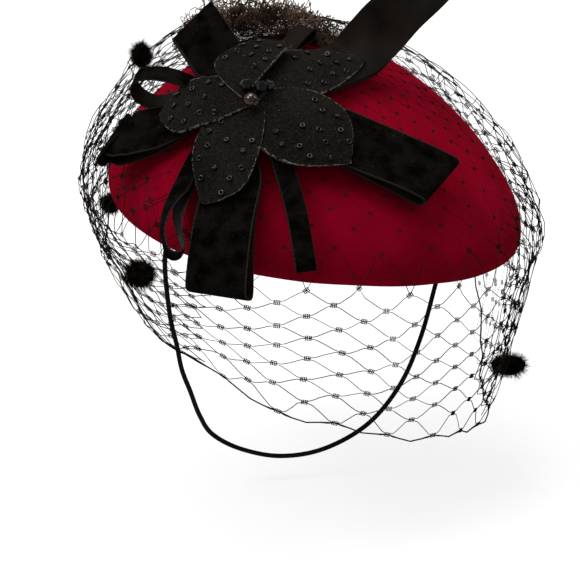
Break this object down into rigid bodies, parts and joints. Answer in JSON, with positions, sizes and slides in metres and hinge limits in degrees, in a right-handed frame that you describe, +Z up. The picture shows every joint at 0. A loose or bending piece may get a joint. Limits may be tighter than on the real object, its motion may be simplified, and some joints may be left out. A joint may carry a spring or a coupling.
{
  "type": "fascinator",
  "caption": "Teardrop felt fascinator hat with a beaded felt flower, velvet ribbon loops, a spotted net veil and a chin elastic, as worn on the head.",
  "frame": {"origin": "top of the felt's hollow, where the base sits on the head", "axes": "+Z up as worn, +X toward the base's point, -Y the way the face looks"},
  "size_m": [0.2272, 0.1955, 0.2403],
  "materials": {
    "felt": "matte wool felt, deep red",
    "petal_felt": "matte black felt, raw edges, black seed beads sewn on",
    "velvet": "black velvet pile, satin back, narrow shiny selvage",
    "bead": "opaque black glass, glossy",
    "net": "fine black open net, slightly shiny thread",
    "chenille": "matte black chenille",
    "elastic": "round braided elastic, black"
  },
  "bodies": {
    "root": {"felt_base": "felt", "petal_upper_right": "petal_felt", "petal_lower_right": "petal_felt", "petal_bottom": "petal_felt", "petal_left": "petal_felt", "petal_top": "petal_felt", "wide_loop_bottom": "velvet", "wide_loop_left": "velvet", "wide_loop_upper_left": "velvet", "wide_loop_upper_right": "velvet", "wide_loop_right": "velvet", "narrow_loop_upper_left": "velvet", "narrow_loop_lower_left": "velvet", "narrow_loop_bottom": "velvet", "narrow_loop_back": "velvet", "round_bead": "bead", "faceted_bead_1": "bead", "faceted_bead_2": "bead", "faceted_bead_3": "bead", "net_gather": "net", "veil_net": "net", "chenille_dot_1": "chenille", "chenille_dot_2": "chenille", "chenille_dot_3": "chenille", "chenille_dot_4": "chenille", "chin_elastic": "elastic"}
  },
  "joints": []
}
